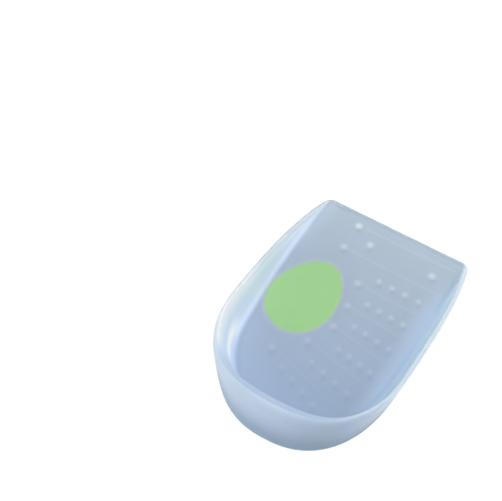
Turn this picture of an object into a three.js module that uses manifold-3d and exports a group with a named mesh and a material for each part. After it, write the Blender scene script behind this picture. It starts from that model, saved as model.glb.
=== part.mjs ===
// Heel cup: a cast gel insert that cradles the heel inside a shoe, with a softer egg-shaped spot
// let into its floor. Millimetres. +X is to the right, +Y runs from the heel to the thin front
// edge, +Z is up. The origin is on the ground under the middle of the bounding box.
import * as THREE from 'three';
import { mergeVertices } from 'three/addons/utils/BufferGeometryUtils.js';
import Module from 'manifold-3d';

const wasm = await Module();
wasm.setup();

// Outline of the belt, the fullest level of the outer wall, seen from above
const LENGTH = 104;
const BELT_HALF_WIDTH = 34;
const WIDEST_FROM_HEEL = 42.6;
const HEEL_SQUARENESS = 2.28;
const FRONT_HALF_WIDTH = 29.8;
const SIDE_TAPER_POWER = 3;
const FRONT_CORNER_RADIUS = 3.4;

// Heights over the ground
const HEEL_HEIGHT = 22.8;
const FRONT_THICKNESS = 2.8;
const RIM_FALL_POWER = 1.56;
const HEEL_FLOOR_THICKNESS = 5;
const FLOOR_FALL_POWER = 2;

// Wall section: how far the foot and the rim stand inside the belt; at the sides the rim flares
// out beyond it. The rim is a small round inside and a wider one outside, widest at the heel.
// Where the wall runs out to the front, each rounding is limited to a share of its height
const BELT_LEVEL = 0.38;
const FOOT_INSET_SIDE = 1.4;
const FOOT_INSET_HEEL = 1.2;
const FOOT_ROUND = 2.2;
const FOOT_ROUND_LIMIT = 0.3;
const RIM_FLARE_SIDE = 2.7;
const RIM_INSET_HEEL = 2.2;
const RIM_INSET_POWER = 0.4;
const RIM_OUTER_WIDTH_SIDE = 0.9;
const RIM_OUTER_WIDTH_HEEL = 4;
const RIM_OUTER_DROP_SIDE = 1;
const RIM_OUTER_DROP_HEEL = 5;
const RIM_INNER_ROUND = 0.8;
const RIM_ROUND_LIMIT = 0.45;
const INNER_WALL_RUN_SIDE = 0.32;
const INNER_WALL_RUN_HEEL = 0.22;
const FLOOR_FILLET = 3.2;
const FLOOR_FILLET_LIMIT = 0.7;

// Soft spot: an egg with its narrow end to the front, flush with the floor of the cup
const SPOT_LENGTH = 34.7;
const SPOT_WIDTH = 25.8;
const SPOT_FROM_HEEL = 59.6;
const SPOT_LEFT_OF_AXIS = 16.2;
const SPOT_TURN_DEG = -7.5;
const SPOT_EGG = 0.145;
const SPOT_COVER = 0.6;
const SPOT_GAP = 0.3;

// Relief moulded into the underside: shallow round dimples and thin grooves
const STUD_RADIUS = 1.5;
const PIP_RADIUS = 1.9;
const GROOVE_WIDTH = 0.9;
const DIMPLE_TAPER = 0.8;
const RELIEF_DEPTH = 0.7;

// Rows of four dimples. along is a share of LENGTH, across and pitch are of FRONT_HALF_WIDTH,
// turn is in degrees and grows towards the heel, so that the rows fan out
const DIMPLE_ROWS = [
  { along: 0.762, across: 0.442, pitch: 0.191, turn: -1 },
  { along: 0.651, across: 0.457, pitch: 0.174, turn: -2.5 },
  { along: 0.54, across: 0.47, pitch: 0.175, turn: -6.8 },
  { along: 0.426, across: 0.447, pitch: 0.166, turn: -10.5 },
  { along: 0.321, across: 0.294, pitch: 0.2, turn: -14.6 },
  { along: 0.235, across: 0.01, pitch: 0.213, turn: -24 },
];
const DIMPLES_IN_ROW = 4;

// Grooves between the rows, each with a larger pip before its end on the spot's side.
// along is a share of LENGTH; from, to and pip are shares of FRONT_HALF_WIDTH
const GROOVES = [
  { along: 0.942, from: -0.35, to: 0.916, pip: -0.477, turn: 0.5 },
  { along: 0.825, from: -0.36, to: 0.822, pip: -0.488, turn: -1.5 },
  { along: 0.711, from: 0.06, to: 0.759, pip: -0.062, turn: -2.5 },
  { along: 0.602, from: 0.07, to: 0.755, pip: -0.015, turn: -5.5 },
  { along: 0.491, from: 0.06, to: 0.78, pip: -0.024, turn: -9.5 },
  { along: 0.382, from: -0.08, to: 0.745, pip: -0.207, turn: -12 },
  { along: 0.269, from: -0.42, to: 0.668, pip: -0.558, turn: -16.8 },
];

// Two more pips frame the plain band between the two front grooves
const BAND_PIPS = [
  { along: 0.886, across: -0.21 },
  { along: 0.884, across: 0.695 },
];

// Fineness of the mesh
const HEEL_STEPS = 26;
const SIDE_STEPS = 14;
const CORNER_STEPS = 4;
const RUNG_STEPS = 12;
const FOOT_STEPS = 3;
const WALL_STEPS = 4;
const ROUND_STEPS = 5;
const INNER_ROUND_STEPS = 2;
const FILLET_STEPS = 4;
const SMALLEST_STEP = 0.3;
const STRAIGHT_SHARE = 0.1;
const SPOT_SIDES = 48;
const DIMPLE_SIDES = 12;

const gel = new THREE.MeshStandardMaterial({ color: 0xa9bfd6, roughness: 0.3, metalness: 0 });
const softGel = new THREE.MeshStandardMaterial({ color: 0xa0d28f, roughness: 0.45, metalness: 0 });

// Points of the right half of the belt, from the middle of the heel round to the end of the
// front corner
function halfOutline() {
  const points = [];
  for (let i = 0; i <= HEEL_STEPS; i++) {
    const t = (i / HEEL_STEPS) * Math.PI / 2;
    const x = BELT_HALF_WIDTH * Math.sin(t) ** (2 / HEEL_SQUARENESS);
    const y = WIDEST_FROM_HEEL * (1 - Math.max(0, Math.cos(t)) ** (2 / HEEL_SQUARENESS));
    points.push(new THREE.Vector2(x, y));
  }
  const sideEnd = LENGTH - FRONT_CORNER_RADIUS;
  for (let i = 1; i <= SIDE_STEPS; i++) {
    const y = THREE.MathUtils.lerp(WIDEST_FROM_HEEL, sideEnd, i / SIDE_STEPS);
    const share = (y - WIDEST_FROM_HEEL) / (LENGTH - WIDEST_FROM_HEEL);
    const x = BELT_HALF_WIDTH - (BELT_HALF_WIDTH - FRONT_HALF_WIDTH) * share ** SIDE_TAPER_POWER;
    points.push(new THREE.Vector2(x, y));
  }
  const last = points[points.length - 1];
  const before = points[points.length - 2];
  const start = Math.atan2(before.x - last.x, last.y - before.y);
  const radius = FRONT_CORNER_RADIUS / (1 - Math.sin(start));
  const centre = new THREE.Vector2(last.x - radius * Math.cos(start), last.y - radius * Math.sin(start));
  for (let i = 1; i <= CORNER_STEPS; i++) {
    const angle = THREE.MathUtils.lerp(start, Math.PI / 2, i / CORNER_STEPS);
    points.push(new THREE.Vector2(centre.x + radius * Math.cos(angle), centre.y + radius * Math.sin(angle)));
  }
  return points;
}

// Stations all round the belt, counterclockwise from the middle of the heel: the right side,
// the front edge and the left side. Each station knows its outward normal and its place along
function stationsRound() {
  const right = halfOutline();
  const end = right[right.length - 1];
  const round = [...right];
  for (let i = 1; i < RUNG_STEPS; i++) {
    round.push(new THREE.Vector2(THREE.MathUtils.lerp(end.x, -end.x, i / RUNG_STEPS), end.y));
  }
  for (let i = right.length - 1; i > 0; i--) {
    round.push(new THREE.Vector2(-right[i].x, right[i].y));
  }
  const count = round.length;
  return round.map((point, i) => {
    const next = round[(i + 1) % count];
    const previous = round[(i + count - 1) % count];
    const along = next.clone().sub(previous).normalize();
    const normal = new THREE.Vector2(along.y, -along.x);
    return { point, normal, share: point.y / LENGTH };
  });
}

// Height of the rim, and of the floor's upper face, at a share of the length
function rimHeight(share) {
  const fall = Math.min(1, share) ** RIM_FALL_POWER;
  return FRONT_THICKNESS + (HEEL_HEIGHT - FRONT_THICKNESS) * (1 - fall);
}

function floorHeight(share) {
  const fall = Math.min(1, share) ** FLOOR_FALL_POWER;
  return FRONT_THICKNESS + (HEEL_FLOOR_THICKNESS - FRONT_THICKNESS) * (1 - fall);
}

// Inset of the outer wall at a level from 0 at the foot to 1 at the rim: the parabola through
// the foot, the belt and the rim
function outerInset(foot, rim, level) {
  const footShare = (level - BELT_LEVEL) * (level - 1) / BELT_LEVEL;
  const rimShare = level * (level - BELT_LEVEL) / (1 - BELT_LEVEL);
  return foot * footShare + rim * rimShare;
}

// Slope of that parabola at the rim, as inset gained from foot to rim if it went on straight
function outerRunAtRim(foot, rim) {
  return foot * (1 - BELT_LEVEL) / BELT_LEVEL + rim * (2 - BELT_LEVEL) / (1 - BELT_LEVEL);
}

// Section through the wall at a station, from the sole up the outside, over the rim and down
// to the floor: pairs of inset from the belt and height
function wallSection({ normal, share }) {
  const height = rimHeight(share);
  const floor = floorHeight(share);
  const wall = Math.max(0, height - floor);
  const tallness = (height - FRONT_THICKNESS) / (HEEL_HEIGHT - FRONT_THICKNESS);
  const heelward = normal.y < 0 ? normal.y ** 2 : 0;
  const foot = THREE.MathUtils.lerp(FOOT_INSET_SIDE, FOOT_INSET_HEEL, heelward) * Math.min(1, 2 * tallness);
  const rim = THREE.MathUtils.lerp(-RIM_FLARE_SIDE, RIM_INSET_HEEL, heelward) * tallness ** RIM_INSET_POWER;
  const roundLimit = height * RIM_ROUND_LIMIT;
  const outerWidth = THREE.MathUtils.lerp(RIM_OUTER_WIDTH_SIDE, RIM_OUTER_WIDTH_HEEL, heelward);
  const outerDrop = THREE.MathUtils.lerp(RIM_OUTER_DROP_SIDE, RIM_OUTER_DROP_HEEL, heelward);
  const width = Math.min(roundLimit, outerWidth);
  const drop = Math.min(roundLimit, outerDrop);
  const innerRound = Math.min(roundLimit, RIM_INNER_ROUND);
  const lean = Math.atan(outerRunAtRim(foot, rim) / (height - drop / 2) * drop / width);
  const wallTop = height - drop * (1 - Math.sin(lean));
  const crest = rim + width * Math.cos(lean);
  const footRound = Math.min(FOOT_ROUND, height * FOOT_ROUND_LIMIT);
  const section = [];
  for (let i = 0; i <= FOOT_STEPS; i++) {
    const angle = (i / FOOT_STEPS) * Math.PI / 2;
    const z = footRound * (1 - Math.cos(angle));
    section.push({ inset: outerInset(foot, rim, z / height) + footRound * (1 - Math.sin(angle)), z });
  }
  for (let i = 1; i <= WALL_STEPS; i++) {
    const z = THREE.MathUtils.lerp(footRound, wallTop, i / (WALL_STEPS + 1));
    section.push({ inset: outerInset(foot, rim, z / wallTop), z });
  }
  for (let i = 0; i <= ROUND_STEPS; i++) {
    const angle = THREE.MathUtils.lerp(lean, Math.PI / 2, i / ROUND_STEPS);
    section.push({ inset: crest - width * Math.cos(angle), z: height - drop * (1 - Math.sin(angle)) });
  }
  for (let i = 1; i <= INNER_ROUND_STEPS; i++) {
    const angle = (i / INNER_ROUND_STEPS) * Math.PI / 2;
    section.push({
      inset: crest + innerRound * Math.sin(angle),
      z: height - Math.min(innerRound, wall) * (1 - Math.cos(angle)),
    });
  }
  const top = section[section.length - 1];
  const fall = top.z - floor;
  const run = THREE.MathUtils.lerp(INNER_WALL_RUN_SIDE, INNER_WALL_RUN_HEEL, heelward) * fall;
  const corner = new THREE.Vector2(top.inset + run + SMALLEST_STEP, floor);
  const fillet = Math.min(FLOOR_FILLET, SMALLEST_STEP + FLOOR_FILLET_LIMIT * wall);
  const straight = Math.max(STRAIGHT_SHARE, 1 - fillet / Math.max(fall, fillet));
  const start = new THREE.Vector2(top.inset, top.z).lerp(corner, straight);
  const end = new THREE.Vector2(corner.x + fillet, floor);
  const curve = new THREE.QuadraticBezierCurve(start, corner, end);
  for (const { x, y } of curve.getPoints(FILLET_STEPS)) {
    section.push({ inset: x, z: y });
  }
  return section;
}

// Closed body: rings of the wall section round the belt, closed below and inside by rungs that
// join each station on the right to its mirror image on the left
function cupGeometry() {
  const stations = stationsRound();
  const sections = stations.map(wallSection);
  const levels = sections[0].length;
  const count = stations.length;
  const positions = [];
  const triangles = [];
  for (let level = 0; level < levels; level++) {
    for (let i = 0; i < count; i++) {
      const { point, normal } = stations[i];
      const { inset, z } = sections[i][level];
      positions.push(point.x - normal.x * inset, point.y - normal.y * inset, z);
    }
  }
  for (let level = 0; level + 1 < levels; level++) {
    for (let i = 0; i < count; i++) {
      const a = level * count + i;
      const b = level * count + (i + 1) % count;
      triangles.push(a, b, b + count, a, b + count, a + count);
    }
  }
  addRungs(positions, triangles, count, 0, false);
  addRungs(positions, triangles, count, levels - 1, true);
  const geometry = new THREE.BufferGeometry();
  geometry.setAttribute('position', new THREE.Float32BufferAttribute(positions, 3));
  geometry.setIndex(triangles);
  return geometry;
}

// Fills the ring at one level with a ladder of quads, facing up or down
function addRungs(positions, triangles, count, level, facesUp) {
  const base = level * count;
  const sideCount = (count - RUNG_STEPS) / 2;
  const point = (index) => new THREE.Vector3().fromArray(positions, index * 3);
  const rungs = [new Array(RUNG_STEPS + 1).fill(base)];
  for (let j = 1; j < sideCount; j++) {
    const right = base + j;
    const left = base + count - j;
    const rung = [right];
    for (let k = 1; k < RUNG_STEPS; k++) {
      rung.push(positions.length / 3);
      positions.push(...point(right).lerp(point(left), k / RUNG_STEPS).toArray());
    }
    rung.push(left);
    rungs.push(rung);
  }
  rungs.push(Array.from({ length: RUNG_STEPS + 1 }, (_, k) => base + sideCount + k));
  for (let j = 0; j + 1 < rungs.length; j++) {
    for (let k = 0; k < RUNG_STEPS; k++) {
      const corners = [rungs[j][k], rungs[j + 1][k], rungs[j + 1][k + 1], rungs[j][k + 1]];
      const faces = [[corners[0], corners[1], corners[2]], [corners[0], corners[2], corners[3]]];
      for (const [a, b, c] of faces) {
        if (a !== b && b !== c && c !== a) {
          triangles.push(...(facesUp ? [a, b, c] : [a, c, b]));
        }
      }
    }
  }
}

// Egg outline of the soft spot, widened all round by a margin, as an upright prism
function spotPrism(margin, bottom, top) {
  const outline = [];
  for (let i = 0; i < SPOT_SIDES; i++) {
    const t = (i / SPOT_SIDES) * Math.PI * 2;
    const halfWidth = (SPOT_WIDTH / 2) * (1 - SPOT_EGG * Math.sin(t)) + margin;
    const halfLength = SPOT_LENGTH / 2 + margin;
    outline.push(new THREE.Vector2(halfWidth * Math.cos(t), halfLength * Math.sin(t)));
  }
  const egg = new THREE.Shape(outline);
  const prism = new THREE.ExtrudeGeometry(egg, { depth: top - bottom, bevelEnabled: false });
  prism.rotateZ(THREE.MathUtils.degToRad(SPOT_TURN_DEG));
  prism.translate(-SPOT_LEFT_OF_AXIS, SPOT_FROM_HEEL, bottom);
  return prism;
}

// A round dimple or a straight groove, as the solid that is cut out of the underside
function dimpleTool(x, y, radius) {
  const tool = new THREE.CylinderGeometry(radius * DIMPLE_TAPER, radius, RELIEF_DEPTH * 2, DIMPLE_SIDES);
  tool.rotateX(Math.PI / 2);
  tool.translate(x, y, 0);
  return tool;
}

function grooveTool(x, y, length, turnDeg) {
  const tool = new THREE.BoxGeometry(length, GROOVE_WIDTH, RELIEF_DEPTH * 2);
  tool.rotateZ(THREE.MathUtils.degToRad(turnDeg));
  tool.translate(x, y, 0);
  return tool;
}

function reliefTools() {
  const tools = [];
  for (const row of DIMPLE_ROWS) {
    const turn = THREE.MathUtils.degToRad(row.turn);
    for (let i = 0; i < DIMPLES_IN_ROW; i++) {
      const offset = (i - (DIMPLES_IN_ROW - 1) / 2) * row.pitch * FRONT_HALF_WIDTH;
      const x = row.across * FRONT_HALF_WIDTH + offset * Math.cos(turn);
      const y = row.along * LENGTH + offset * Math.sin(turn);
      tools.push(dimpleTool(x, y, STUD_RADIUS));
    }
  }
  for (const groove of GROOVES) {
    const turn = THREE.MathUtils.degToRad(groove.turn);
    const middle = (groove.from + groove.to) / 2 * FRONT_HALF_WIDTH;
    const length = (groove.to - groove.from) * FRONT_HALF_WIDTH;
    const pipOffset = groove.pip * FRONT_HALF_WIDTH - middle;
    tools.push(grooveTool(middle, groove.along * LENGTH, length, groove.turn));
    tools.push(dimpleTool(
      middle + pipOffset * Math.cos(turn),
      groove.along * LENGTH + pipOffset * Math.sin(turn),
      PIP_RADIUS,
    ));
  }
  for (const pip of BAND_PIPS) {
    tools.push(dimpleTool(pip.across * FRONT_HALF_WIDTH, pip.along * LENGTH, PIP_RADIUS));
  }
  return tools;
}

// Between three.js geometry and the solids that booleans work on
function toSolid(geometry) {
  const bare = geometry.clone();
  bare.deleteAttribute('normal');
  bare.deleteAttribute('uv');
  const merged = mergeVertices(bare, 1e-4);
  return new wasm.Manifold(new wasm.Mesh({
    numProp: 3,
    vertProperties: new Float32Array(merged.attributes.position.array),
    triVerts: new Uint32Array(merged.index.array),
  }));
}

function toGeometry(solid) {
  const mesh = solid.getMesh();
  const geometry = new THREE.BufferGeometry();
  geometry.setAttribute('position', new THREE.BufferAttribute(mesh.vertProperties, 3));
  geometry.setIndex(new THREE.BufferAttribute(mesh.triVerts, 1));
  geometry.computeVertexNormals();
  return geometry;
}

function namedMesh(name, solid, material) {
  const mesh = new THREE.Mesh(toGeometry(solid), material);
  mesh.name = name;
  return mesh;
}

// The cup without its pocket also gives the spot its upper face, so the two end up flush
const blank = toSolid(cupGeometry());
const pocketBottom = RELIEF_DEPTH + SPOT_COVER;
const pocket = toSolid(spotPrism(SPOT_GAP, pocketBottom, HEEL_HEIGHT));
const plug = toSolid(spotPrism(0, pocketBottom + SPOT_GAP, HEEL_HEIGHT)).intersect(blank);
let cup = blank.subtract(pocket);
for (const tool of reliefTools()) {
  cup = cup.subtract(toSolid(tool));
}

const heelCup = new THREE.Group();
heelCup.add(namedMesh('gel_cup', cup, gel));
heelCup.add(namedMesh('soft_spot', plug, softGel));
heelCup.position.set(0, -LENGTH / 2, 0);

export default heelCup;
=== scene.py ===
# %% [markdown]
# # A gel heel cup
#
# The object is a soft insert that lies in a shoe under the heel. It is cast in one go from cloudy,
# pale blue silicone gel: a floor that is thick at the heel and runs out thin at the front, with a wall
# that curls up round the heel. Under the tender place of the heel an egg-shaped spot of softer green
# gel is let into the floor.
#
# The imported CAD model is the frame. It gives the sizes and the place of every piece, and the pieces
# made here are finer versions of its two bodies, with the finish of real gel.

# %% Load the frame
import math

import bmesh
import bpy
from mathutils import Matrix, Vector


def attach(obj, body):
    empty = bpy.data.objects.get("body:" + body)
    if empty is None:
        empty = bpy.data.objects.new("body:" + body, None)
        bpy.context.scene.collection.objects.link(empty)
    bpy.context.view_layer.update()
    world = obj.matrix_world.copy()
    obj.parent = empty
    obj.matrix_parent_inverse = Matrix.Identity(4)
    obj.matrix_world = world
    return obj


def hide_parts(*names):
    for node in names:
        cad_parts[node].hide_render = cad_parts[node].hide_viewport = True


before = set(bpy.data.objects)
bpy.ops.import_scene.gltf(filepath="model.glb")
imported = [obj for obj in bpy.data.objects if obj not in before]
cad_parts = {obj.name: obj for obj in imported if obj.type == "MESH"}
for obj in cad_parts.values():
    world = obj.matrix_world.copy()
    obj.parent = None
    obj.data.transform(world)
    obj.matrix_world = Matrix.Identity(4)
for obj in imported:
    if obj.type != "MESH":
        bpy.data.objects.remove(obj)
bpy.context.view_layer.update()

MM = 0.001

# %% [markdown]
# ## Small helpers
# An operator acts on all that is selected, and the frame arrives selected, so every step starts by
# letting go of everything. A colour is written as the hex value that the eye knows, and Blender's
# shaders want it linear, so one function turns it. The last four build materials, so that each of them
# reads from top to bottom like a recipe.


# %% Helpers
def let_go():
    """Leaves edit mode and deselects everything."""
    if bpy.context.object and bpy.context.object.mode != "OBJECT":
        bpy.ops.object.mode_set(mode="OBJECT")
    bpy.ops.object.select_all(action="DESELECT")


def pick(piece):
    """Makes piece the only selected object, and the active one."""
    let_go()
    piece.select_set(True)
    bpy.context.view_layer.objects.active = piece


def linear(hex_colour):
    """A colour as Blender's shaders want it, from an sRGB hex value."""
    shares = [int(hex_colour[i:i + 2], 16) / 255 for i in (1, 3, 5)]
    return [s / 12.92 if s <= 0.04045 else ((s + 0.055) / 1.055) ** 2.4 for s in shares] + [1.0]


def add_node(tree, kind, settings=None, **sockets):
    """Adds a node. settings are its properties; a socket is given a value, or another node's output.
    A socket is named with its spaces as underscores, or by its number as in_0."""
    node = tree.nodes.new(kind)
    for name, value in (settings or {}).items():
        setattr(node, name, value)
    for name, value in sockets.items():
        if name.startswith("in_"):
            socket = node.inputs[int(name[3:])]
        else:
            socket = node.inputs[name.replace("_", " ")]
        if isinstance(value, bpy.types.NodeSocket):
            tree.links.new(value, socket)
        else:
            socket.default_value = value
    return node


def new_material(name):
    """An empty material and its node tree."""
    material = bpy.data.materials.new(name)
    material.use_nodes = True
    material.node_tree.nodes.clear()
    return material, material.node_tree


def blend(tree, factor, low, high):
    """The colour between low and high. Each is a hex value, or another node's output."""
    low, high = [linear(colour) if isinstance(colour, str) else colour for colour in (low, high)]
    node = add_node(tree, "ShaderNodeMix", {"data_type": "RGBA"}, Factor=factor, in_6=low, in_7=high)
    return node.outputs[2]


def read_attribute(tree, name):
    """The value that a vertex attribute gives at the shaded place."""
    return add_node(tree, "ShaderNodeAttribute", {"attribute_name": name}).outputs["Fac"]


# %% [markdown]
# ## The cup's outline
# Seen from above the cup is a blunt heel that widens for two fifths of its length, sides that draw in
# slowly, and a straight front edge between two small round corners. The heel could be drawn with a
# curve and its handles. Here it is a superellipse, because two numbers then hold its shape: how wide
# it is and how square.

# %% Outline of the belt, the fullest level of the wall
LENGTH = 104 * MM
BELT_HALF_WIDTH = 34 * MM
WIDEST_FROM_HEEL = 42.6 * MM
HEEL_SQUARENESS = 2.28
FRONT_HALF_WIDTH = 29.8 * MM
SIDE_TAPER_POWER = 3
FRONT_CORNER_RADIUS = 3.4 * MM
HEEL_STEPS, SIDE_STEPS, CORNER_STEPS, FRONT_STEPS = 36, 20, 6, 24


def half_outline():
    """Points of the right half, from the middle of the heel to the end of the front corner."""
    points = []
    for i in range(HEEL_STEPS + 1):
        t = i / HEEL_STEPS * math.pi / 2
        points.append(Vector((
            BELT_HALF_WIDTH * math.sin(t) ** (2 / HEEL_SQUARENESS),
            WIDEST_FROM_HEEL * (1 - max(0, math.cos(t)) ** (2 / HEEL_SQUARENESS)),
        )))
    side_end = LENGTH - FRONT_CORNER_RADIUS
    for i in range(1, SIDE_STEPS + 1):
        y = WIDEST_FROM_HEEL + (side_end - WIDEST_FROM_HEEL) * i / SIDE_STEPS
        share = (y - WIDEST_FROM_HEEL) / (LENGTH - WIDEST_FROM_HEEL)
        x = BELT_HALF_WIDTH - (BELT_HALF_WIDTH - FRONT_HALF_WIDTH) * share ** SIDE_TAPER_POWER
        points.append(Vector((x, y)))
    last, before = points[-1], points[-2]
    start = math.atan2(before.x - last.x, last.y - before.y)
    radius = FRONT_CORNER_RADIUS / (1 - math.sin(start))
    centre = Vector((last.x - radius * math.cos(start), last.y - radius * math.sin(start)))
    for i in range(1, CORNER_STEPS + 1):
        angle = start + (math.pi / 2 - start) * i / CORNER_STEPS
        points.append(centre + radius * Vector((math.cos(angle), math.sin(angle))))
    return points


def stations_round():
    """(point, outward normal, share of the length) all round, counterclockwise from the heel."""
    right = half_outline()
    end = right[-1]
    front = [Vector((end.x * (1 - 2 * i / FRONT_STEPS), end.y)) for i in range(1, FRONT_STEPS)]
    left = [Vector((-p.x, p.y)) for p in reversed(right[1:])]
    ring = right + front + left
    stations = []
    for i, point in enumerate(ring):
        along = (ring[(i + 1) % len(ring)] - ring[i - 1]).normalized()
        stations.append((point, Vector((along.y, -along.x)), point.y / LENGTH))
    return stations


stations = stations_round()
print("stations round the cup:", len(stations))

# %% [markdown]
# ## The wall's section
# A cut through the wall shows a rounded foot, an outside that bulges to its belt and leans, a rim, and
# an inside that runs down into a soft hollow before it meets the floor. The rim turns tightly on its
# inner side and widely on its outer side, most of all at the heel, where it is thick. Towards the front
# the whole section shrinks until only the thin edge is left. So the section is worked out anew at each
# station from the height that the rim has there.

# %% Section through the wall
HEEL_HEIGHT = 22.8 * MM
FRONT_THICKNESS = 2.8 * MM
RIM_FALL_POWER = 1.56
HEEL_FLOOR_THICKNESS = 5 * MM
FLOOR_FALL_POWER = 2
BELT_LEVEL = 0.38
FOOT_INSET_SIDE, FOOT_INSET_HEEL = 1.4 * MM, 1.2 * MM
FOOT_ROUND, FOOT_ROUND_LIMIT = 2.2 * MM, 0.3
RIM_INSET_SIDE, RIM_INSET_HEEL, RIM_INSET_POWER = -2.7 * MM, 2.2 * MM, 0.4
RIM_WIDTH_SIDE, RIM_WIDTH_HEEL = 0.9 * MM, 4 * MM
RIM_DROP_SIDE, RIM_DROP_HEEL = 1 * MM, 5 * MM
RIM_ROUND_SIDE, RIM_ROUND_HEEL, RIM_ROUND_LIMIT = 0.9 * MM, 2.4 * MM, 0.45
INNER_RUN_SIDE, INNER_RUN_HEEL = 0.32, 0.13
FLOOR_FILLET, FLOOR_FILLET_LIMIT = 3.2 * MM, 0.7
SMALLEST_STEP = 0.3 * MM
STRAIGHT_SHARE = 0.1
FOOT_RINGS, WALL_RINGS, RIM_RINGS, INNER_RINGS, FILLET_RINGS = 4, 5, 7, 4, 6


def mix(a, b, share):
    """The value that lies a share of the way from a to b."""
    return a + (b - a) * share


def share_at(y):
    """Share of the length, from the heel, at a place along the frame's Y."""
    return y / LENGTH + 0.5


def heel_facing(normal):
    """How squarely a normal looks backwards: 1 at the middle of the heel, 0 along the sides and front."""
    return normal.y ** 2 if normal.y < 0 else 0


def rim_height(share):
    """Height of the rim over the ground at a share of the length."""
    return mix(HEEL_HEIGHT, FRONT_THICKNESS, min(1, share) ** RIM_FALL_POWER)


def floor_height(share):
    """Height of the floor's upper face at a share of the length."""
    return mix(HEEL_FLOOR_THICKNESS, FRONT_THICKNESS, min(1, share) ** FLOOR_FALL_POWER)


def outer_inset(foot, rim, level):
    """How far the outside stands inside the belt: the parabola through foot, belt and rim."""
    foot_share = (level - BELT_LEVEL) * (level - 1) / BELT_LEVEL
    rim_share = level * (level - BELT_LEVEL) / (1 - BELT_LEVEL)
    return foot * foot_share + rim * rim_share


def outer_run_at_rim(foot, rim):
    """Slope of that parabola at the rim, as the inset that it would gain from foot to rim."""
    return foot * (1 - BELT_LEVEL) / BELT_LEVEL + rim * (2 - BELT_LEVEL) / (1 - BELT_LEVEL)


def wall_section(normal, share):
    """Pairs of inset and height, up the outside, over the rim and down to the floor."""
    height, floor = rim_height(share), floor_height(share)
    wall = max(0, height - floor)
    tallness = (height - FRONT_THICKNESS) / (HEEL_HEIGHT - FRONT_THICKNESS)
    heelward = heel_facing(normal)
    foot = mix(FOOT_INSET_SIDE, FOOT_INSET_HEEL, heelward) * min(1, 2 * tallness)
    rim = mix(RIM_INSET_SIDE, RIM_INSET_HEEL, heelward) * tallness ** RIM_INSET_POWER
    limit = height * RIM_ROUND_LIMIT
    width = min(limit, mix(RIM_WIDTH_SIDE, RIM_WIDTH_HEEL, heelward))
    drop = min(limit, mix(RIM_DROP_SIDE, RIM_DROP_HEEL, heelward))
    inner_round = min(limit, mix(RIM_ROUND_SIDE, RIM_ROUND_HEEL, heelward))
    lean = math.atan(outer_run_at_rim(foot, rim) / (height - drop / 2) * drop / width)
    wall_top = height - drop * (1 - math.sin(lean))
    crest = rim + width * math.cos(lean)
    foot_round = min(FOOT_ROUND, height * FOOT_ROUND_LIMIT)
    section = []
    for i in range(FOOT_RINGS + 1):
        angle = i / FOOT_RINGS * math.pi / 2
        z = foot_round * (1 - math.cos(angle))
        section.append((outer_inset(foot, rim, z / height) + foot_round * (1 - math.sin(angle)), z))
    for i in range(1, WALL_RINGS + 1):
        z = mix(foot_round, wall_top, i / (WALL_RINGS + 1))
        section.append((outer_inset(foot, rim, z / wall_top), z))
    for i in range(RIM_RINGS + 1):
        angle = mix(lean, math.pi / 2, i / RIM_RINGS)
        section.append((crest - width * math.cos(angle), height - drop * (1 - math.sin(angle))))
    for i in range(1, INNER_RINGS + 1):
        angle = i / INNER_RINGS * math.pi / 2
        fall = min(inner_round, wall) * (1 - math.cos(angle))
        section.append((crest + inner_round * math.sin(angle), height - fall))
    top_inset, top_z = section[-1]
    run = mix(INNER_RUN_SIDE, INNER_RUN_HEEL, heelward) * (top_z - floor)
    corner = Vector((top_inset + run + SMALLEST_STEP, floor))
    fillet = min(FLOOR_FILLET, SMALLEST_STEP + FLOOR_FILLET_LIMIT * wall)
    straight = max(STRAIGHT_SHARE, 1 - fillet / max(top_z - floor, fillet))
    start = Vector((top_inset, top_z)).lerp(corner, straight)
    end = Vector((corner.x + fillet, floor))
    for i in range(FILLET_RINGS + 1):
        t = i / FILLET_RINGS
        section.append(tuple(start.lerp(corner, t).lerp(corner.lerp(end, t), t)))
    return section


sections = [wall_section(normal, share) for _, normal, share in stations]
LEVELS = len(sections[0])


def ring_places(level):
    """Where the vertices of the ring at one level of the section go, in the frame."""
    places = []
    for (point, normal, _), section in zip(stations, sections):
        inset, z = section[level]
        flat = point - normal * inset
        places.append(Vector((flat.x, flat.y - LENGTH / 2, z)))
    return places


print("rings up and over the wall:", LEVELS)

# %% [markdown]
# ## Pulling up the wall
# A cup like this could be carved from a block, or spun, but it isn't round. It is drawn up as a potter
# does it: a circle is laid on the outline of the sole, its edge is extruded ring by ring up the
# outside, over the rim and down the inside, and each ring is set on the section. The sole and the floor
# are then closed with a grid of even faces, which has no pole that would pinch the light.


# %% Rings of the wall
def pull_ring(mesh, ring, places):
    """Extrudes the selected ring once and sets its vertices at places. Returns their numbers."""
    bpy.ops.mesh.extrude_edges_move()
    cage = bmesh.from_edit_mesh(mesh)
    cage.verts.index_update()
    cage.verts.ensure_lookup_table()
    pulled = []
    for number, place in zip(ring, places):
        old = cage.verts[number]
        new = next(e.other_vert(old) for e in old.link_edges if e.other_vert(old).select)
        new.co = place
        pulled.append(new.index)
    bmesh.update_edit_mesh(mesh)
    return pulled


let_go()
bpy.ops.mesh.primitive_circle_add(vertices=len(stations), radius=BELT_HALF_WIDTH, fill_type="NOTHING")
cup = bpy.context.object
cup.name = cup.data.name = "gel_heel_cup"
for vertex, place in zip(cup.data.vertices, ring_places(0)):
    vertex.co = place
bpy.ops.object.mode_set(mode="EDIT")
bpy.ops.mesh.select_mode(type="EDGE")
bpy.ops.mesh.select_all(action="SELECT")
ring = sole_ring = list(range(len(stations)))
for level in range(1, LEVELS):
    ring = pull_ring(cup.data, ring, ring_places(level))
floor_ring = ring
print("vertices in the wall:", len(bmesh.from_edit_mesh(cup.data).verts))


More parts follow.
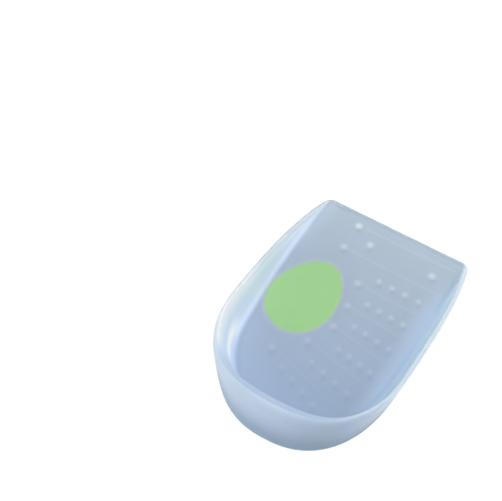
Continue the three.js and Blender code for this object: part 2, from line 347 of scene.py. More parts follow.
# %% Sole and floor
def fill_ring(mesh, ring, height_at):
    """Closes a ring with a grid of FRONT_STEPS columns, and lays its inner vertices at height_at(y)."""
    cage = bmesh.from_edit_mesh(mesh)
    cage.verts.ensure_lookup_table()
    bpy.ops.mesh.select_all(action="DESELECT")
    members = set(ring)
    before = len(cage.verts)
    for edge in cage.edges:
        if edge.verts[0].index in members and edge.verts[1].index in members:
            edge.select_set(True)
    cage.select_history.clear()
    cage.select_history.add(cage.verts[ring[len(half_outline()) - 1]])
    bmesh.update_edit_mesh(mesh)
    bpy.ops.mesh.fill_grid(span=FRONT_STEPS, offset=0)
    cage = bmesh.from_edit_mesh(mesh)
    cage.verts.ensure_lookup_table()
    for vertex in list(cage.verts)[before:]:
        vertex.co.z = height_at(vertex.co.y)
    bmesh.update_edit_mesh(mesh)
    return len(cage.verts) - before


def floor_at(y):
    """Height of the floor at a place along the frame's Y."""
    return floor_height(share_at(y))


print("vertices inside the sole:", fill_ring(cup.data, sole_ring, lambda y: 0.0))
print("vertices inside the floor:", fill_ring(cup.data, floor_ring, floor_at))
bpy.ops.mesh.select_all(action="SELECT")
bpy.ops.mesh.normals_make_consistent(inside=False)
let_go()


# %% Round it off
def apply_modifier(piece, kind, **settings):
    """Adds a modifier with these settings and applies it at once."""
    pick(piece)
    modifier = piece.modifiers.new(kind.title(), kind)
    for name, value in settings.items():
        setattr(modifier, name, value)
    bpy.ops.object.modifier_apply(modifier=modifier.name)


apply_modifier(cup, "SUBSURF", levels=1, render_levels=1)
print("faces after one subdivision:", len(cup.data.polygons))

# %% [markdown]
# ## Relief in the underside
# The real mould leaves rows of small round dimples and thin grooves in the sole. From above they show
# through the cloudy gel as pale dots, each with a shadow. Two things are made of them. Where they lie,
# the floor's upper face gets faint swells, because the gel prints through as it sets. Later one dimple
# and one groove are modelled as cutting tools and copied over the sole.

# %% Where the dimples and grooves lie
DIMPLE_RADIUS, PIP_RADIUS, RELIEF_DEPTH = 1.5 * MM, 1.9 * MM, 0.7 * MM
GROOVE_WIDTH, GROOVE_DEPTH_SHARE = 0.9 * MM, 0.8
DIMPLES_IN_ROW = 4
DIMPLE_ROWS = [
    # along the length, across, pitch (shares of the front half width), turn in degrees
    (0.762, 0.442, 0.191, -1),
    (0.651, 0.457, 0.174, -2.5),
    (0.54, 0.47, 0.175, -6.8),
    (0.426, 0.447, 0.166, -10.5),
    (0.321, 0.294, 0.2, -14.6),
    (0.235, 0.01, 0.213, -24),
]
GROOVES = [
    # along the length, from, to and pip (shares of the front half width), turn in degrees
    (0.942, -0.35, 0.916, -0.477, 0.5),
    (0.825, -0.36, 0.822, -0.488, -1.5),
    (0.711, 0.06, 0.759, -0.062, -2.5),
    (0.602, 0.07, 0.755, -0.015, -5.5),
    (0.491, 0.06, 0.78, -0.024, -9.5),
    (0.382, -0.08, 0.745, -0.207, -12),
    (0.269, -0.42, 0.668, -0.558, -16.8),
]
BAND_PIPS = [(0.886, -0.21), (0.884, 0.695)]

dimples, grooves = [], []
for along, across, pitch, turn in DIMPLE_ROWS:
    for i in range(DIMPLES_IN_ROW):
        offset = (i - (DIMPLES_IN_ROW - 1) / 2) * pitch * FRONT_HALF_WIDTH
        x = across * FRONT_HALF_WIDTH + offset * math.cos(math.radians(turn))
        y = (along - 0.5) * LENGTH + offset * math.sin(math.radians(turn))
        dimples.append((x, y, DIMPLE_RADIUS))
for along, start, end, pip, turn in GROOVES:
    middle, length = (start + end) / 2 * FRONT_HALF_WIDTH, (end - start) * FRONT_HALF_WIDTH
    offset = pip * FRONT_HALF_WIDTH - middle
    y = (along - 0.5) * LENGTH
    grooves.append((middle, y, length, math.radians(turn)))
    dimples.append((
        middle + offset * math.cos(math.radians(turn)), y + offset * math.sin(math.radians(turn)), PIP_RADIUS,
    ))
dimples += [(across * FRONT_HALF_WIDTH, (along - 0.5) * LENGTH, PIP_RADIUS) for along, across in BAND_PIPS]
print("dimples:", len(dimples), "grooves:", len(grooves))


# %% Faint swells in the floor
FINE_CUTS = 2
FINE_FROM, FINE_MARGIN = -36 * MM, 3 * MM
SWELL_HEIGHT_FRONT, SWELL_HEIGHT_HEEL = 0.22 * MM, 0.03 * MM
DOT_SPREAD = 1.15
RIDGE_SHARE = 0.28
FLOOR_SKIN = 0.3 * MM
FLAT_FACE = 0.9


def hump(distance, reach):
    """1 at the middle of a mark, 0 at its reach, and smooth between."""
    return max(0, 1 - (distance / reach) ** 2) ** 2


def dots_at(x, y):
    """How strongly the dimples of the sole show at a place of the floor, from 0 to 1."""
    return max(hump(math.hypot(x - dx, y - dy), DOT_SPREAD * radius) for dx, dy, radius in dimples)


def lines_at(x, y):
    """The same for the grooves."""
    strongest = 0.0
    for gx, gy, length, turn in grooves:
        along = (x - gx) * math.cos(turn) + (y - gy) * math.sin(turn)
        across = (y - gy) * math.cos(turn) - (x - gx) * math.sin(turn)
        past_end = max(0, abs(along) - length / 2)
        strongest = max(strongest, hump(math.hypot(across, past_end), GROOVE_WIDTH))
    return strongest


pick(cup)
bpy.ops.object.mode_set(mode="EDIT")
bpy.ops.mesh.select_mode(type="FACE")
bpy.ops.mesh.select_all(action="DESELECT")
cage = bmesh.from_edit_mesh(cup.data)
marks_left = min(x for x, _, _ in dimples) - FINE_MARGIN
for face in cage.faces:
    middle = face.calc_center_median()
    is_floor = middle.z < floor_at(middle.y) + FLOOR_SKIN and face.normal.z > FLAT_FACE
    if is_floor and middle.x > marks_left and middle.y > FINE_FROM:
        face.select_set(True)
bmesh.update_edit_mesh(cup.data)
bpy.ops.mesh.subdivide(number_cuts=FINE_CUTS)
cage = bmesh.from_edit_mesh(cup.data)
raised = 0
for vertex in cage.verts:
    if vertex.select:
        x, y, _ = vertex.co
        strength = max(dots_at(x, y), RIDGE_SHARE * lines_at(x, y))
        vertex.co.z += strength * mix(SWELL_HEIGHT_HEEL, SWELL_HEIGHT_FRONT, share_at(y) ** 2)
        raised += strength > 0
bmesh.update_edit_mesh(cup.data)
let_go()
print("vertices raised:", raised, "faces:", len(cup.data.polygons))

# %% [markdown]
# ## The soft spot
# The spot is a plug of softer gel, egg-shaped with its narrow end to the front, cast flush into the
# floor. It is drawn as a circle that is set on the egg, closed with a grid, laid down on the floor with
# a Shrinkwrap modifier, so that it follows the floor's fall, and pulled down into its pocket. Its rim
# is bevelled, because a cast edge is never knife sharp.

# %% Sizes of the spot
SPOT_LENGTH, SPOT_WIDTH = 34.8 * MM, 25.9 * MM
SPOT_FROM_HEEL, SPOT_FROM_AXIS = 59.6 * MM, -16.2 * MM
SPOT_TURN = math.radians(-7.5)
SPOT_EGG = 0.145
SPOT_BOTTOM = 1.6 * MM
SPOT_GAP = 0.015 * MM
SPOT_CROWN = 0.1 * MM
SPOT_EDGE = 0.02 * MM
SPOT_SIDES = 96
SPOT_BEVEL_ANGLE, SPOT_SMOOTH_ANGLE = math.radians(50), math.radians(25)


def egg_place(t, margin=0.0, z=0.0):
    """A point of the egg's outline, widened by margin, in the frame."""
    across = (SPOT_WIDTH / 2 * (1 - SPOT_EGG * math.sin(t)) + margin) * math.cos(t)
    along = (SPOT_LENGTH / 2 + margin) * math.sin(t)
    cos, sin = math.cos(SPOT_TURN), math.sin(SPOT_TURN)
    return Vector((
        SPOT_FROM_AXIS + across * cos - along * sin,
        SPOT_FROM_HEEL - LENGTH / 2 + across * sin + along * cos,
        z,
    ))


def egg_share(x, y):
    """How far out a place lies in the egg: 0 at its middle, 1 on its outline."""
    reach = Vector((x - SPOT_FROM_AXIS, y - SPOT_FROM_HEEL + LENGTH / 2))
    reach.rotate(Matrix.Rotation(-SPOT_TURN, 2))
    along = reach.y / (SPOT_LENGTH / 2)
    half_width = SPOT_WIDTH / 2 * (1 - SPOT_EGG * min(1, max(-1, along)))
    return math.hypot(reach.x / half_width, along)


def add_egg(name, margin, z):
    """A circle primitive whose vertices are set on the egg."""
    let_go()
    bpy.ops.mesh.primitive_circle_add(vertices=SPOT_SIDES, radius=SPOT_WIDTH / 2, fill_type="NOTHING")
    egg = bpy.context.object
    egg.name = egg.data.name = name
    for i, vertex in enumerate(egg.data.vertices):
        vertex.co = egg_place(i / SPOT_SIDES * 2 * math.pi, margin, z)
    return egg


# %% Model the spot
spot = add_egg("soft_gel_spot", 0.0, HEEL_HEIGHT)
bpy.ops.object.mode_set(mode="EDIT")
bpy.ops.mesh.select_all(action="SELECT")
bpy.ops.mesh.fill_grid(span=SPOT_SIDES // 4)
bpy.ops.mesh.select_all(action="SELECT")
bpy.ops.mesh.normals_make_consistent(inside=False)
let_go()
if spot.data.polygons[0].normal.z < 0:
    spot.data.flip_normals()
apply_modifier(
    spot, "SHRINKWRAP", target=cup, wrap_method="PROJECT",
    use_project_z=True, use_negative_direction=True, use_positive_direction=False,
)
for vertex in spot.data.vertices:
    vertex.co.z += SPOT_EDGE + SPOT_CROWN * (1 - min(1, egg_share(vertex.co.x, vertex.co.y)) ** 2)
pick(spot)
bpy.ops.object.mode_set(mode="EDIT")
bpy.ops.mesh.select_mode(type="FACE")
bpy.ops.mesh.select_all(action="SELECT")
bpy.ops.mesh.extrude_region_move()
cage = bmesh.from_edit_mesh(spot.data)
for vertex in cage.verts:
    if vertex.select:
        vertex.co.z = SPOT_BOTTOM
bmesh.update_edit_mesh(spot.data)
bpy.ops.mesh.select_all(action="SELECT")
bpy.ops.mesh.normals_make_consistent(inside=False)
let_go()
print("spot from", round(min(v.co.z for v in spot.data.vertices) / MM, 2), "to",
      round(max(v.co.z for v in spot.data.vertices) / MM, 2), "mm high")
apply_modifier(
    spot, "BEVEL", width=SPOT_EDGE, segments=2, limit_method="ANGLE", angle_limit=SPOT_BEVEL_ANGLE,
)
pick(spot)
bpy.ops.object.shade_smooth_by_angle(angle=SPOT_SMOOTH_ANGLE)

# %% Pocket for the spot
pocket = add_egg("pocket_tool", SPOT_GAP, SPOT_BOTTOM - SPOT_GAP)
bpy.ops.object.mode_set(mode="EDIT")
bpy.ops.mesh.select_all(action="SELECT")
bpy.ops.mesh.edge_face_add()
bpy.ops.mesh.extrude_region_move(TRANSFORM_OT_translate={"value": (0, 0, HEEL_HEIGHT)})
bpy.ops.mesh.select_all(action="SELECT")
bpy.ops.mesh.normals_make_consistent(inside=False)
let_go()
apply_modifier(cup, "BOOLEAN", object=pocket, operation="DIFFERENCE", solver="EXACT")
bpy.data.objects.remove(pocket)
print("faces with the pocket:", len(cup.data.polygons))


# %% Cut the relief into the sole
def copy_tool(tool, place, scale, turn=0.0):
    """A copy of tool with its own mesh, scaled, turned about Z and set at place."""
    copy = tool.copy()
    copy.data = tool.data.copy()
    bpy.context.scene.collection.objects.link(copy)
    copy.location, copy.scale, copy.rotation_euler = place, scale, (0, 0, turn)
    return copy


CUP_SMOOTH_ANGLE = math.radians(35)
let_go()
bpy.ops.mesh.primitive_uv_sphere_add(segments=20, ring_count=10, radius=1)
dome = bpy.context.object
let_go()
bpy.ops.mesh.primitive_cylinder_add(vertices=16, radius=1, depth=1, rotation=(0, math.pi / 2, 0))
rod = bpy.context.object
bpy.ops.object.transform_apply(location=False, rotation=True, scale=False)
tools = [copy_tool(dome, (x, y, 0), (radius, radius, RELIEF_DEPTH)) for x, y, radius in dimples]
tools += [
    copy_tool(rod, (x, y, 0), (length, GROOVE_WIDTH / 2, RELIEF_DEPTH * GROOVE_DEPTH_SHARE), turn)
    for x, y, length, turn in grooves
]
bpy.data.objects.remove(dome)
bpy.data.objects.remove(rod)
let_go()
for tool in tools:
    tool.select_set(True)
bpy.context.view_layer.objects.active = tools[0]
bpy.ops.object.join()
relief = bpy.context.object
apply_modifier(cup, "BOOLEAN", object=relief, operation="DIFFERENCE", solver="EXACT", use_self=True)
bpy.data.objects.remove(relief)
pick(cup)
bpy.ops.object.shade_smooth_by_angle(angle=CUP_SMOOTH_ANGLE)
print("faces with the relief:", len(cup.data.polygons))

# %% [markdown]
# ## Cloudy silicone gel
# Soft silicone gel is clear in itself, but this one is clouded, so that light wanders in it: thin
# places such as the wall look pale and milky, and the thick floor looks bluer and deeper. A volume
# shader would do this and take very long. A Principled shader that scatters the light under its surface
# looks the same from outside, and the change of colour with the gel's depth is written on the vertices,
# together with painted light and painted shade.
#
# The depth is a number: 0 on a thin wall, 1 over the thick floor, up to 2 along the foot, where painted
# shade stands for the light that hardly comes there, and below 0 for painted highlights. It also holds
# painted light by the right side, at the front left corner and round the egg, and painted shade down the
# outside of the wall and on its unlit side. It changes along ramps. Each ramp is a pair of places, where
# its effect is nil and where it is full.

# %% Ramps
# most ramps place painted light and painted shade: the right glow, the front left corner, the unlit side, the
# rim and heel from left to right, the low left, the left wall, the streak and the gleam
RAMPS = {
    # mm across the cup, towards its right
    "right side": (20, 31),
    "left side": (-22, -30),
    "unlit side": (-10, -28),
    "rim from left to right": (-10, 25),
    "heel from left to right": (0, 30),
    # mm along the cup, from its middle towards the front
    "right glow": (48, 22),
    "front left corner": (20, 40),
    "low left starts": (-42, -30),
    "low left ends": (15, -8),
    "left wall": (-5, 8),
    "edge line": (-25, -5),
    "heel": (-15, -32),
    "back of the hollow": (-32, -44),
    "matt rim": (-36, -44),
    "streak climbs": (-6, -30),
    "streak brightens": (-12, -26),
    "streak starts": (-36, -30),
    "gleam widens": (5, -12),
    "gleam starts": (-42, -32),
    "streak and gleam end": (45, 30),
    # mm above the floor, and below the rim
    "fillet": (1.5, 0),
    "lip": (2, 0.3),
}
FRONT_LINE = LENGTH / 2 - 2.8 * MM, LENGTH / 2 - 0.4 * MM
# levels on the outside of the wall, as shares of the rim's height, where its painted shade begins and deepens
FOOT_LEVELS = 0.6, 0.05
PALE_LEVEL_SIDE, PALE_LEVEL_HEEL, DEEP_LEVEL_LIT, DEEP_LEVEL_UNLIT = 0.98, 0.86, 0.35, 0.85
# how far out from the egg, as egg_share gives it
SEAM_SHARES, SCATTER_SHARES, POCKET_SHARE = (1.12, 1), (1.01, 1.1), 0.05


def smooth_share(low, high, value):
    """0 at low, 1 at high, and a smooth way between. High may be the smaller of the two."""
    t = min(1, max(0, (value - low) / (high - low)))
    return t * t * (3 - 2 * t)


def ramp(name, value):
    """How far the ramp of that name has come at a place."""
    low, high = RAMPS[name]
    return smooth_share(low * MM, high * MM, value)


print("ramps:", len(RAMPS))

# %% Depth of gel under each vertex
# painted light on the rim: paler on the right, with a painted highlight low on the left
RIM_TONE_LEFT, RIM_HIGHLIGHT_LOW_LEFT, RIM_TONE_RIGHT, EDGE_LINE_DARKENING = 0.35, -0.3, 0.1, 0.6
# the heel's outside is painted paler on its left than on its right
HEEL_TONE_LEFT, HEEL_TONE_RIGHT, HEEL_DEPTH_INSIDE = 0.08, 0.6, 0.7
LEFT_WALL_SHADE, UNLIT_SHADE, FOOT_SHADE, FRONT_LINE_DARKENING = 0.15, 0.4, 0.75, 0.4
# painted light: the floor paler by the right side, at the front left corner, and round the egg's seam
RIGHT_PAINTED_LIGHT, CORNER_PAINTED_LIGHT, SEAM_PAINTED_LIGHT = 0.65, 0.25, 0.2
# painted highlights: the streak in the hollow of the left wall and the gleam under its rim
STREAK_HIGHLIGHT, STREAK_HIGHLIGHT_SHARE_FRONT = 1.1, 0.15
STREAK_LEVEL, STREAK_CLIMB, STREAK_REACH = 1.0 * MM, 4.6 * MM, 3.6 * MM
GLEAM_HIGHLIGHT_FRONT, GLEAM_HIGHLIGHT_HEEL, GLEAM_LEVEL = 0.35, 0.45, 2.0 * MM
GLEAM_REACH_FRONT, GLEAM_REACH_HEEL = 1.6 * MM, 2.8 * MM
SKIN_TOP, FLATNESS = 0.25 * MM, 0.8
LEAST_OUTWARD = 0.2 * BELT_HALF_WIDTH


def is_outside(place, normal):
    """Whether a place of the skin lies on the outside of the wall."""
    return Vector((place.x, min(0, place.y))).dot(normal.xy) > LEAST_OUTWARD


def painted_highlights(y, over_floor, under_rim):
    """Painted highlights: a streak along the hollow of the left wall, and a gleam under its rim."""
    climb = STREAK_CLIMB * ramp("streak climbs", y)
    streak = STREAK_HIGHLIGHT * hump(over_floor - STREAK_LEVEL - climb, STREAK_REACH)
    streak *= mix(STREAK_HIGHLIGHT_SHARE_FRONT, 1.0, ramp("streak brightens", y)) * ramp("streak starts", y)
    widened = ramp("gleam widens", y)
    gleam = mix(GLEAM_HIGHLIGHT_FRONT, GLEAM_HIGHLIGHT_HEEL, widened)
    gleam *= hump(under_rim - GLEAM_LEVEL, mix(GLEAM_REACH_FRONT, GLEAM_REACH_HEEL, widened))
    gleam *= ramp("gleam starts", y)
    return max(streak, gleam) * ramp("streak and gleam end", y)


def floor_depth_and_light_at(x, y):
    """Depth of the floor, with painted light where light comes in: paler by the right side and at the front
    left corner.
    """
    right = ramp("right side", x) * ramp("right glow", y)
    corner = ramp("left side", x) * ramp("front left corner", y)
    return 1 - RIGHT_PAINTED_LIGHT * right - CORNER_PAINTED_LIGHT * corner


def rim_depth_and_light_at(x, y):
    """Depth of the rim with painted light: paler on the right, the lit side, and a painted highlight low on
    the left.
    """
    low_left = ramp("low left ends", y) * ramp("low left starts", y)
    left_depth = mix(RIM_TONE_LEFT, RIM_HIGHLIGHT_LOW_LEFT, low_left)
    return mix(left_depth, RIM_TONE_RIGHT, ramp("rim from left to right", x))


def outside_depth_and_shade(place, normal, rim_depth_and_light):
    """Depth on the outside of the wall, as painted shade: it grows downwards, more on the unlit side, and
    once more along the foot.
    """
    x, y, z = place
    heelward = heel_facing(normal)
    level = z / rim_height(share_at(y))
    # painted light and shade on the heel's outside, paler on the left
    heel_depth = mix(HEEL_TONE_LEFT, HEEL_TONE_RIGHT, ramp("heel from left to right", x))
    # darker along a line at the top of the outside, from the middle to the front
    top_depth = mix(rim_depth_and_light + EDGE_LINE_DARKENING * ramp("edge line", y), heel_depth, ramp("heel", y))
    unlit = ramp("unlit side", x) * (1 - heelward)
    pale_level = mix(PALE_LEVEL_SIDE, PALE_LEVEL_HEEL, heelward)
    deep_level = mix(DEEP_LEVEL_LIT, DEEP_LEVEL_UNLIT, unlit)
    depth = mix(top_depth, 1 + UNLIT_SHADE * unlit, smooth_share(pale_level, deep_level, level))
    return depth + FOOT_SHADE * smooth_share(*FOOT_LEVELS, level)


def gel_depth_and_painted_light(place, normal):
    """How deep and blue the gel looks at a place of the skin, with painted light, painted shade and painted
    highlights added.
    """
    x, y, z = place
    over_floor, under_rim = z - floor_at(y), rim_height(share_at(y)) - z
    floor_depth_and_light = floor_depth_and_light_at(x, y)
    # darker along the last few millimetres of the front edge
    front_darkening = FRONT_LINE_DARKENING * smooth_share(*FRONT_LINE, y)
    # the floor: painted light by the right side, at the front left corner and round the egg's seam, and
    # darker along the front edge
    if over_floor < SKIN_TOP and normal.z > FLATNESS:
        return floor_depth_and_light + front_darkening - SEAM_PAINTED_LIGHT * smooth_share(*SEAM_SHARES, egg_share(x, y))
    # the pocket wall round the egg: painted light
    if abs(egg_share(x, y) - 1) < POCKET_SHARE:
        return 1 - SEAM_PAINTED_LIGHT
    rim_depth_and_light = rim_depth_and_light_at(x, y)
    if is_outside(place, normal) or front_darkening > 0:
        return outside_depth_and_shade(place, normal, rim_depth_and_light) + front_darkening
    wall = mix(floor_depth_and_light * ramp("fillet", over_floor), rim_depth_and_light, ramp("lip", under_rim))
    if x < 0:
        # the left wall only: painted shade that deepens towards the front, less the painted highlights
        wall += LEFT_WALL_SHADE * ramp("left wall", y) - painted_highlights(y, over_floor, under_rim)
    return mix(wall, max(wall, HEEL_DEPTH_INSIDE), ramp("back of the hollow", y))


# %% Gloss and scattering
GLOSSY, MATT = 0.4, 0.5


def skin_roughness(place, normal):
    """The wall's outside and the rim at the heel are matt from the mould, the inside is glossier."""
    return MATT if is_outside(place, normal) else mix(GLOSSY, MATT, ramp("matt rim", place.y))


def scattering(place, normal):
    """How much light wanders under the skin. Beside the spot it would be lost in the narrow seam, which
    would draw a dark line round the egg that the real one, cast in place, doesn't have."""
    return smooth_share(*SCATTER_SHARES, egg_share(place.x, place.y))


def write_on_vertices(piece, name, value_at):
    """Writes value_at(place, normal) on each vertex of piece, as an attribute that its material reads."""
    values = [value_at(vertex.co, vertex.normal) for vertex in piece.data.vertices]
    piece.data.attributes.new(name, "FLOAT", "POINT").data.foreach_set("value", values)
    print(name, "from", round(min(values), 2), "to", round(max(values), 2))


write_on_vertices(cup, "gel_depth_and_painted_light", gel_depth_and_painted_light)
write_on_vertices(cup, "skin_roughness", skin_roughness)
write_on_vertices(cup, "scattering", scattering)

# %% [markdown]
# A dimple in the sole works as a small lens. It gathers the light from above into a pale dot, and on the
# near side of the dot lies its shade. The thicker the gel, the farther apart the two seem. Both are
# written on the floor's vertices, which are fine enough there.

# %% Pale dots and their shade
SHADE_WAY = Vector((0.51, -0.86))
SHADE_AT_HEEL, SHADE_AT_FRONT = 3.0 * MM, 2.0 * MM
PALE_AT_HEEL, PALE_AT_FRONT = 0.0, 0.45
FRONT_PIPS, FRONT_PIPS_FROM = 1.7, (0.86, 0.94)
SHADE_OF_DOTS, SHADE_OF_LINES = 0.18, 0.04


def on_floor(place, normal):
    """Whether a place of the skin lies on the floor's upper face."""
    return normal.z > FLATNESS and place.z < floor_at(place.y) + FLOOR_SKIN


def sole_painted_light(place, normal):
    """The painted light of the dots and lines, strongest at the front, where the gel is thin."""
    if not on_floor(place, normal):
        return 0.0
    share = share_at(place.y)
    dots = mix(1, FRONT_PIPS, smooth_share(*FRONT_PIPS_FROM, share)) * dots_at(place.x, place.y)
    return mix(PALE_AT_HEEL, PALE_AT_FRONT, share) * max(dots, RIDGE_SHARE * lines_at(place.x, place.y))


def sole_shade(place, normal):
    """The painted shade of the dots and lines, on the side away from the light."""
    if not on_floor(place, normal):
        return 0.0
    back = SHADE_WAY * mix(SHADE_AT_HEEL, SHADE_AT_FRONT, share_at(place.y))
    dots = SHADE_OF_DOTS * dots_at(place.x - back.x, place.y - back.y)
    return max(dots, SHADE_OF_LINES * lines_at(place.x - back.x / 2, place.y - back.y / 2))


write_on_vertices(cup, "sole_painted_light", sole_painted_light)
write_on_vertices(cup, "sole_shade", sole_shade)

# %% Material of the cup
NOISE_CLOUD = 1 / (9 * MM)
NOISE_SKIN = 1 / (0.9 * MM)
CLOUD_SWAY = 0.16
SKIN_BUMP = 0.03 * MM
GEL_IOR = 1.41
PALE_LEFT, PALE_RIGHT = "#CEDCF0", "#CADDF0"
THICK_HEEL, THICK_FRONT = "#A2B7D1", "#B5C2CE"
# the first colour is painted shade on the foot and the unlit side, the second painted highlights
FOOT_SHADE_BLUE, HIGHLIGHT_WHITE = "#6691AE", "#F5FAFF"
# the painted shade and the painted light of the sole's dots and lines
MARK_SHADE, MARK_PAINTED_LIGHT = "#8096B4", "#E4ECF3"


def cloudy_gel():
    """Cast silicone gel, clouded pale blue: a satin skin over a milky body in which light wanders."""
    material, tree = new_material("cast_cloudy_silicone_gel")
    place = add_node(tree, "ShaderNodeTexCoord").outputs["Object"]
    axes = add_node(tree, "ShaderNodeSeparateXYZ", Vector=place).outputs
    frontward = add_node(tree, "ShaderNodeMapRange", Value=axes["Y"],
                         From_Min=-LENGTH / 2, From_Max=LENGTH / 2)
    rightward = add_node(tree, "ShaderNodeMapRange", Value=axes["X"],
                         From_Min=-BELT_HALF_WIDTH, From_Max=BELT_HALF_WIDTH)
    pale = blend(tree, rightward.outputs[0], PALE_LEFT, PALE_RIGHT)
    thick = blend(tree, frontward.outputs[0], THICK_HEEL, THICK_FRONT)
    # the gel's depth, with painted light, painted shade and painted highlights written into it
    deep = read_attribute(tree, "gel_depth_and_painted_light")
    cloud = add_node(tree, "ShaderNodeTexNoise", Vector=place, Scale=NOISE_CLOUD, Detail=2.0)
    sway = add_node(tree, "ShaderNodeMath", {"operation": "MULTIPLY_ADD"},
                    in_0=cloud.outputs["Fac"], in_1=CLOUD_SWAY, in_2=-CLOUD_SWAY / 2)
    level = add_node(tree, "ShaderNodeMath", {"operation": "ADD", "use_clamp": True},
                     in_0=deep, in_1=sway.outputs[0])
    below = add_node(tree, "ShaderNodeMath", {"operation": "SUBTRACT", "use_clamp": True},
                     in_0=deep, in_1=1.0)
    highlight_share = add_node(tree, "ShaderNodeMath", {"operation": "MULTIPLY", "use_clamp": True},
                    in_0=deep, in_1=-1.0)
    tint = blend(tree, level.outputs[0], pale, thick)
    # painted shade: deeper blue along the foot and on the unlit side
    tint = blend(tree, below.outputs[0], tint, FOOT_SHADE_BLUE)
    # painted highlights, near white where the value falls below 0
    tint = blend(tree, highlight_share.outputs[0], tint, HIGHLIGHT_WHITE)
    # painted shade and painted light of the sole's dots and lines
    tint = blend(tree, read_attribute(tree, "sole_shade"), tint, MARK_SHADE)
    tint = blend(tree, read_attribute(tree, "sole_painted_light"), tint, MARK_PAINTED_LIGHT)
    skin = add_node(tree, "ShaderNodeTexNoise", Vector=place, Scale=NOISE_SKIN, Detail=3.0)
    bump = add_node(tree, "ShaderNodeBump", Height=skin.outputs["Fac"], Strength=0.15, Distance=SKIN_BUMP)
    body = add_node(
        tree, "ShaderNodeBsdfPrincipled", {"subsurface_method": "RANDOM_WALK"},
        Base_Color=tint, Roughness=read_attribute(tree, "skin_roughness"), IOR=GEL_IOR,
        Subsurface_Weight=read_attribute(tree, "scattering"),
        Subsurface_Radius=(1.0, 1.0, 0.95), Subsurface_Scale=6 * MM, Normal=bump.outputs[0],
    )
    add_node(tree, "ShaderNodeOutputMaterial", Surface=body.outputs[0])
    return material


cup.data.materials.clear()
cup.data.materials.append(cloudy_gel())


# %% Material of the spot
GREEN_LOW, GREEN_HIGH, SIDE_LIGHT_GREEN = "#A2D592", "#AAD99A", "#E2EDE6"
SIDE_NORMALS = 0.999, 0.5


def soft_green_gel():
    """The spot's softer silicone, dyed pale green and clouded, so that it looks even and matt."""
    material, tree = new_material("cast_soft_green_gel")
    place = add_node(tree, "ShaderNodeTexCoord").outputs["Object"]
    cloud = add_node(tree, "ShaderNodeTexNoise", Vector=place, Scale=NOISE_CLOUD * 2, Detail=2.0)
    tint = blend(tree, cloud.outputs["Fac"], GREEN_LOW, GREEN_HIGH)
    tint = blend(tree, read_attribute(tree, "painted_side_light"), tint, SIDE_LIGHT_GREEN)
    skin = add_node(tree, "ShaderNodeTexNoise", Vector=place, Scale=NOISE_SKIN, Detail=3.0)
    bump = add_node(tree, "ShaderNodeBump", Height=skin.outputs["Fac"], Strength=0.2, Distance=SKIN_BUMP)
    body = add_node(
        tree, "ShaderNodeBsdfPrincipled", Base_Color=tint, Roughness=0.5, IOR=GEL_IOR,
        Subsurface_Weight=0.5, Subsurface_Radius=(1.0, 1.2, 0.8), Subsurface_Scale=1.0 * MM,
        Normal=bump.outputs[0],
    )
    add_node(tree, "ShaderNodeOutputMaterial", Surface=body.outputs[0])
    return material


def painted_side_light(place, normal):
    """Painted light on the side and bevel of the spot, paler than its face, for the light that it takes from
    the cup round it.
    """
    return smooth_share(*SIDE_NORMALS, normal.z)


write_on_vertices(spot, "painted_side_light", painted_side_light)
spot.data.materials.clear()
spot.data.materials.append(soft_green_gel())

# %% What each piece is in the frame
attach(cup, "root")
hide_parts("gel_cup")
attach(spot, "root")
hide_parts("soft_spot")

# %% [markdown]
# ## Table, light and camera
# The cup stands on a plain table that glows white, as a light table does, so that the ground stays
# white right up to the gel and shows no shadow. A wide softbox over the cup lights the floor evenly. A
# smaller one, low on the right, draws the bright streak into the hollow of the left wall, where painted
# highlights on the gel strengthen it. One behind the cup lifts its rim, and one at the front left opens
# the shade on the outside of the heel. The room itself is dark, so the side that faces the camera falls
# off towards the foot, and painted shade on the gel deepens that fall.

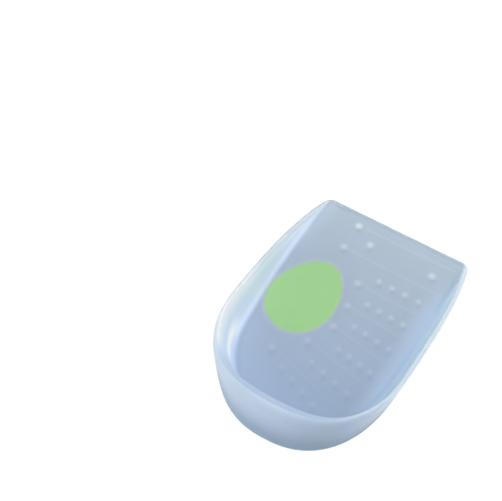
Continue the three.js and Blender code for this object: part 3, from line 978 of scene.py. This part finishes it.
# %% Table
TABLE_SIZE = 6.0
TABLE_GAP = 0.15 * MM
let_go()
bpy.ops.mesh.primitive_plane_add(size=TABLE_SIZE, location=(0, 0, -TABLE_GAP))
table = bpy.context.object
table.name = "table"
white, table_tree = new_material("white_light_table")
sheet = add_node(
    table_tree, "ShaderNodeBsdfPrincipled", Base_Color=linear("#303030"), Roughness=0.9,
    Specular_IOR_Level=0.0, Emission_Color=linear("#FFFFFF"), Emission_Strength=1.0,
)
add_node(table_tree, "ShaderNodeOutputMaterial", Surface=sheet.outputs[0])
table.data.materials.append(white)

# %% Light
world = bpy.data.worlds.new("dark_room")
bpy.context.scene.world = world
world.use_nodes = True
world.node_tree.nodes["Background"].inputs["Strength"].default_value = 0.0
SOFTBOX_DISTANCE = 1.2
SOFTBOXES = [
    # name, azimuth and elevation in degrees, width and height in metres, watts
    ("top_softbox", 0, 89, 1.3, 1.3, 11.1),
    ("key_softbox", 56, 18, 0.5, 0.8, 7.0),
    ("back_softbox", -10, 45, 0.8, 0.8, 2.7),
    ("fill_softbox", -140, 20, 0.8, 0.8, 5.0),
]


def way_to(azimuth, elevation):
    """The direction with that azimuth and elevation. Azimuth 0 is towards +Y and 90 towards +X."""
    a, e = math.radians(azimuth), math.radians(elevation)
    return Vector((math.sin(a) * math.cos(e), math.cos(a) * math.cos(e), math.sin(e)))


for name, azimuth, elevation, width, height, watts in SOFTBOXES:
    data = bpy.data.lights.new(name, "AREA")
    data.shape, data.size, data.size_y, data.energy = "RECTANGLE", width, height, watts
    lamp = bpy.data.objects.new(name, data)
    bpy.context.scene.collection.objects.link(lamp)
    lamp.location = SOFTBOX_DISTANCE * way_to(azimuth, elevation)
    lamp.rotation_euler = (-lamp.location).to_track_quat("-Z", "Y").to_euler()
print("softboxes:", len(SOFTBOXES))

# %% Camera
CAMERA_PLACE = Vector((143.9, -301.6, 588.1)) * MM
CAMERA_AIM = Vector((-45.4, 16.5, 0)) * MM
SENSOR_WIDTH, FOCAL_LENGTH = 36, 129.1
NEAREST, FARTHEST = 0.01, 20
let_go()
bpy.ops.object.camera_add(location=CAMERA_PLACE)
camera = bpy.context.object
camera.name = "camera"
camera.rotation_euler = (CAMERA_AIM - CAMERA_PLACE).to_track_quat("-Z", "Y").to_euler()
camera.data.sensor_width = SENSOR_WIDTH
camera.data.lens = FOCAL_LENGTH
camera.data.clip_start, camera.data.clip_end = NEAREST, FARTHEST
bpy.context.scene.camera = camera
bpy.context.scene.view_settings.view_transform = "Standard"
